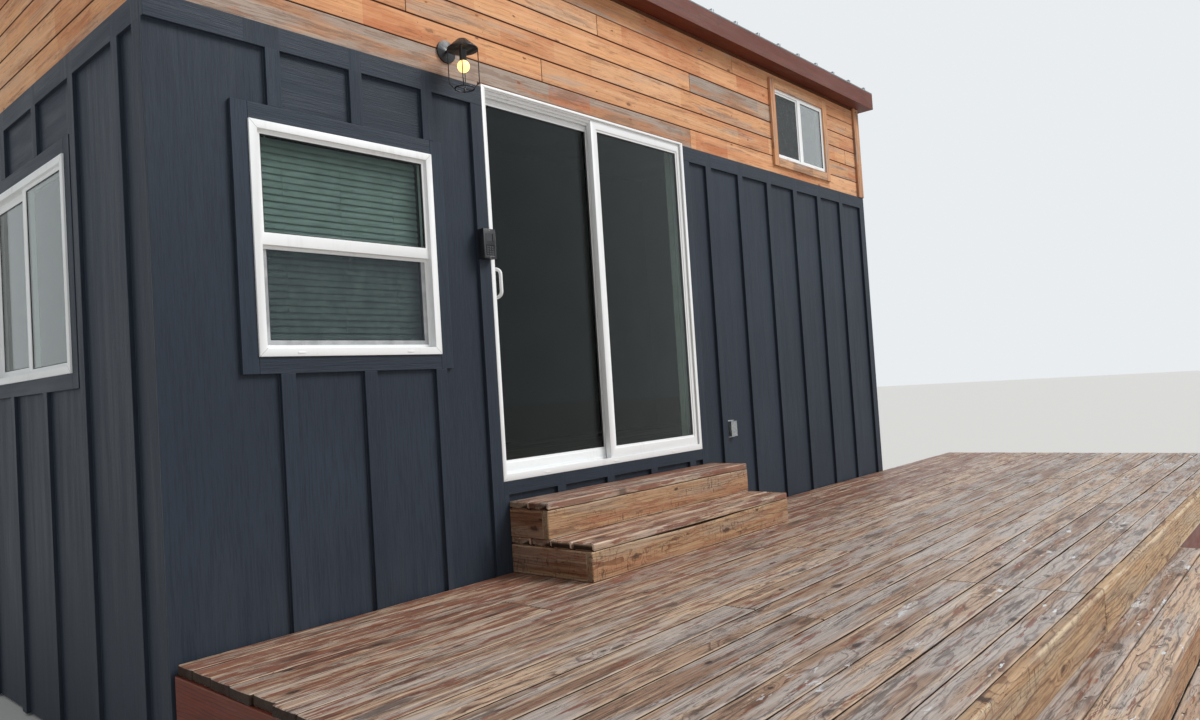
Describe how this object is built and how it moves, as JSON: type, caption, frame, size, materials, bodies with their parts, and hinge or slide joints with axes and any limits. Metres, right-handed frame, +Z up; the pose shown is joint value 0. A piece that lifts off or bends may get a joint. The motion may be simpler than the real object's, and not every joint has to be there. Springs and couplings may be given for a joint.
{
  "type": "timber-clad container cabin with a raised deck",
  "caption": "Small clad cabin on piers: dark batten siding below cedar planks, a sliding glass patio door, windows, a boxed-eave roof, and a raised plank deck with steps.",
  "frame": {"origin": "middle of the outline of cabin, deck and steps, at ground level", "axes": "+X along the front wall to the right as seen from the deck, +Y from the deck into the cabin, +Z up"},
  "size_m": [7.96, 5.63, 3.985],
  "materials": {
    "pier_block": "rough",
    "box_steel": "matt",
    "floor_board": "satin",
    "wall_lining": "matt",
    "roof_timber": "raw",
    "roof_sheet": "satin",
    "stained_fascia": "satin",
    "dark_siding": "satin",
    "cedar_plank": "weathered",
    "white_vinyl": "satin",
    "window_glass": "clear",
    "blind_slat": "satin",
    "black_fitting": "satin",
    "grey_cover": "satin",
    "deck_lumber": "weathered",
    "step_lumber": "weathered"
  },
  "bodies": {
    "cabin": {"piers": "pier_block", "base_frame": "box_steel", "floor": "floor_board", "front_wall_left": "wall_lining", "front_wall_right": "wall_lining", "front_wall_over_door": "wall_lining", "left_end_wall": "wall_lining", "right_end_wall": "wall_lining", "back_wall": "wall_lining", "ceiling": "wall_lining", "roof_frame": "roof_timber", "roof_metal": "roof_sheet", "roof_fascia": "stained_fascia", "front_siding_left": "dark_siding", "front_siding_right": "dark_siding", "front_siding_base": "dark_siding", "left_end_siding": "dark_siding", "right_end_siding": "dark_siding", "back_siding": "dark_siding", "front_planks": "cedar_plank", "left_end_planks": "cedar_plank", "right_end_planks": "cedar_plank", "back_planks": "cedar_plank", "cedar_trim": "cedar_plank", "black_casings": "dark_siding", "door_frame": "white_vinyl", "fixed_panel": "white_vinyl", "front_window": "white_vinyl", "end_window": "white_vinyl", "small_window": "white_vinyl", "fixed_glass": "window_glass", "window_blind": "blind_slat", "wall_lantern": "black_fitting", "key_box": "black_fitting", "outlet_cover": "grey_cover", "deck_boards": "deck_lumber", "deck_frame": "deck_lumber", "deck_rim": "deck_lumber", "deck_fascia": "stained_fascia", "front_steps": "deck_lumber", "entry_treads": "step_lumber", "entry_boxes": "step_lumber"},
    "door": {"sliding_panel": "white_vinyl", "sliding_glass": "window_glass", "door_handle": "white_vinyl"}
  },
  "joints": [
    {"name": "door_slide", "type": "slide", "parent": "cabin", "child": "door", "axis": [1, 0, 0], "range_m": [0, 0.77]}
  ]
}
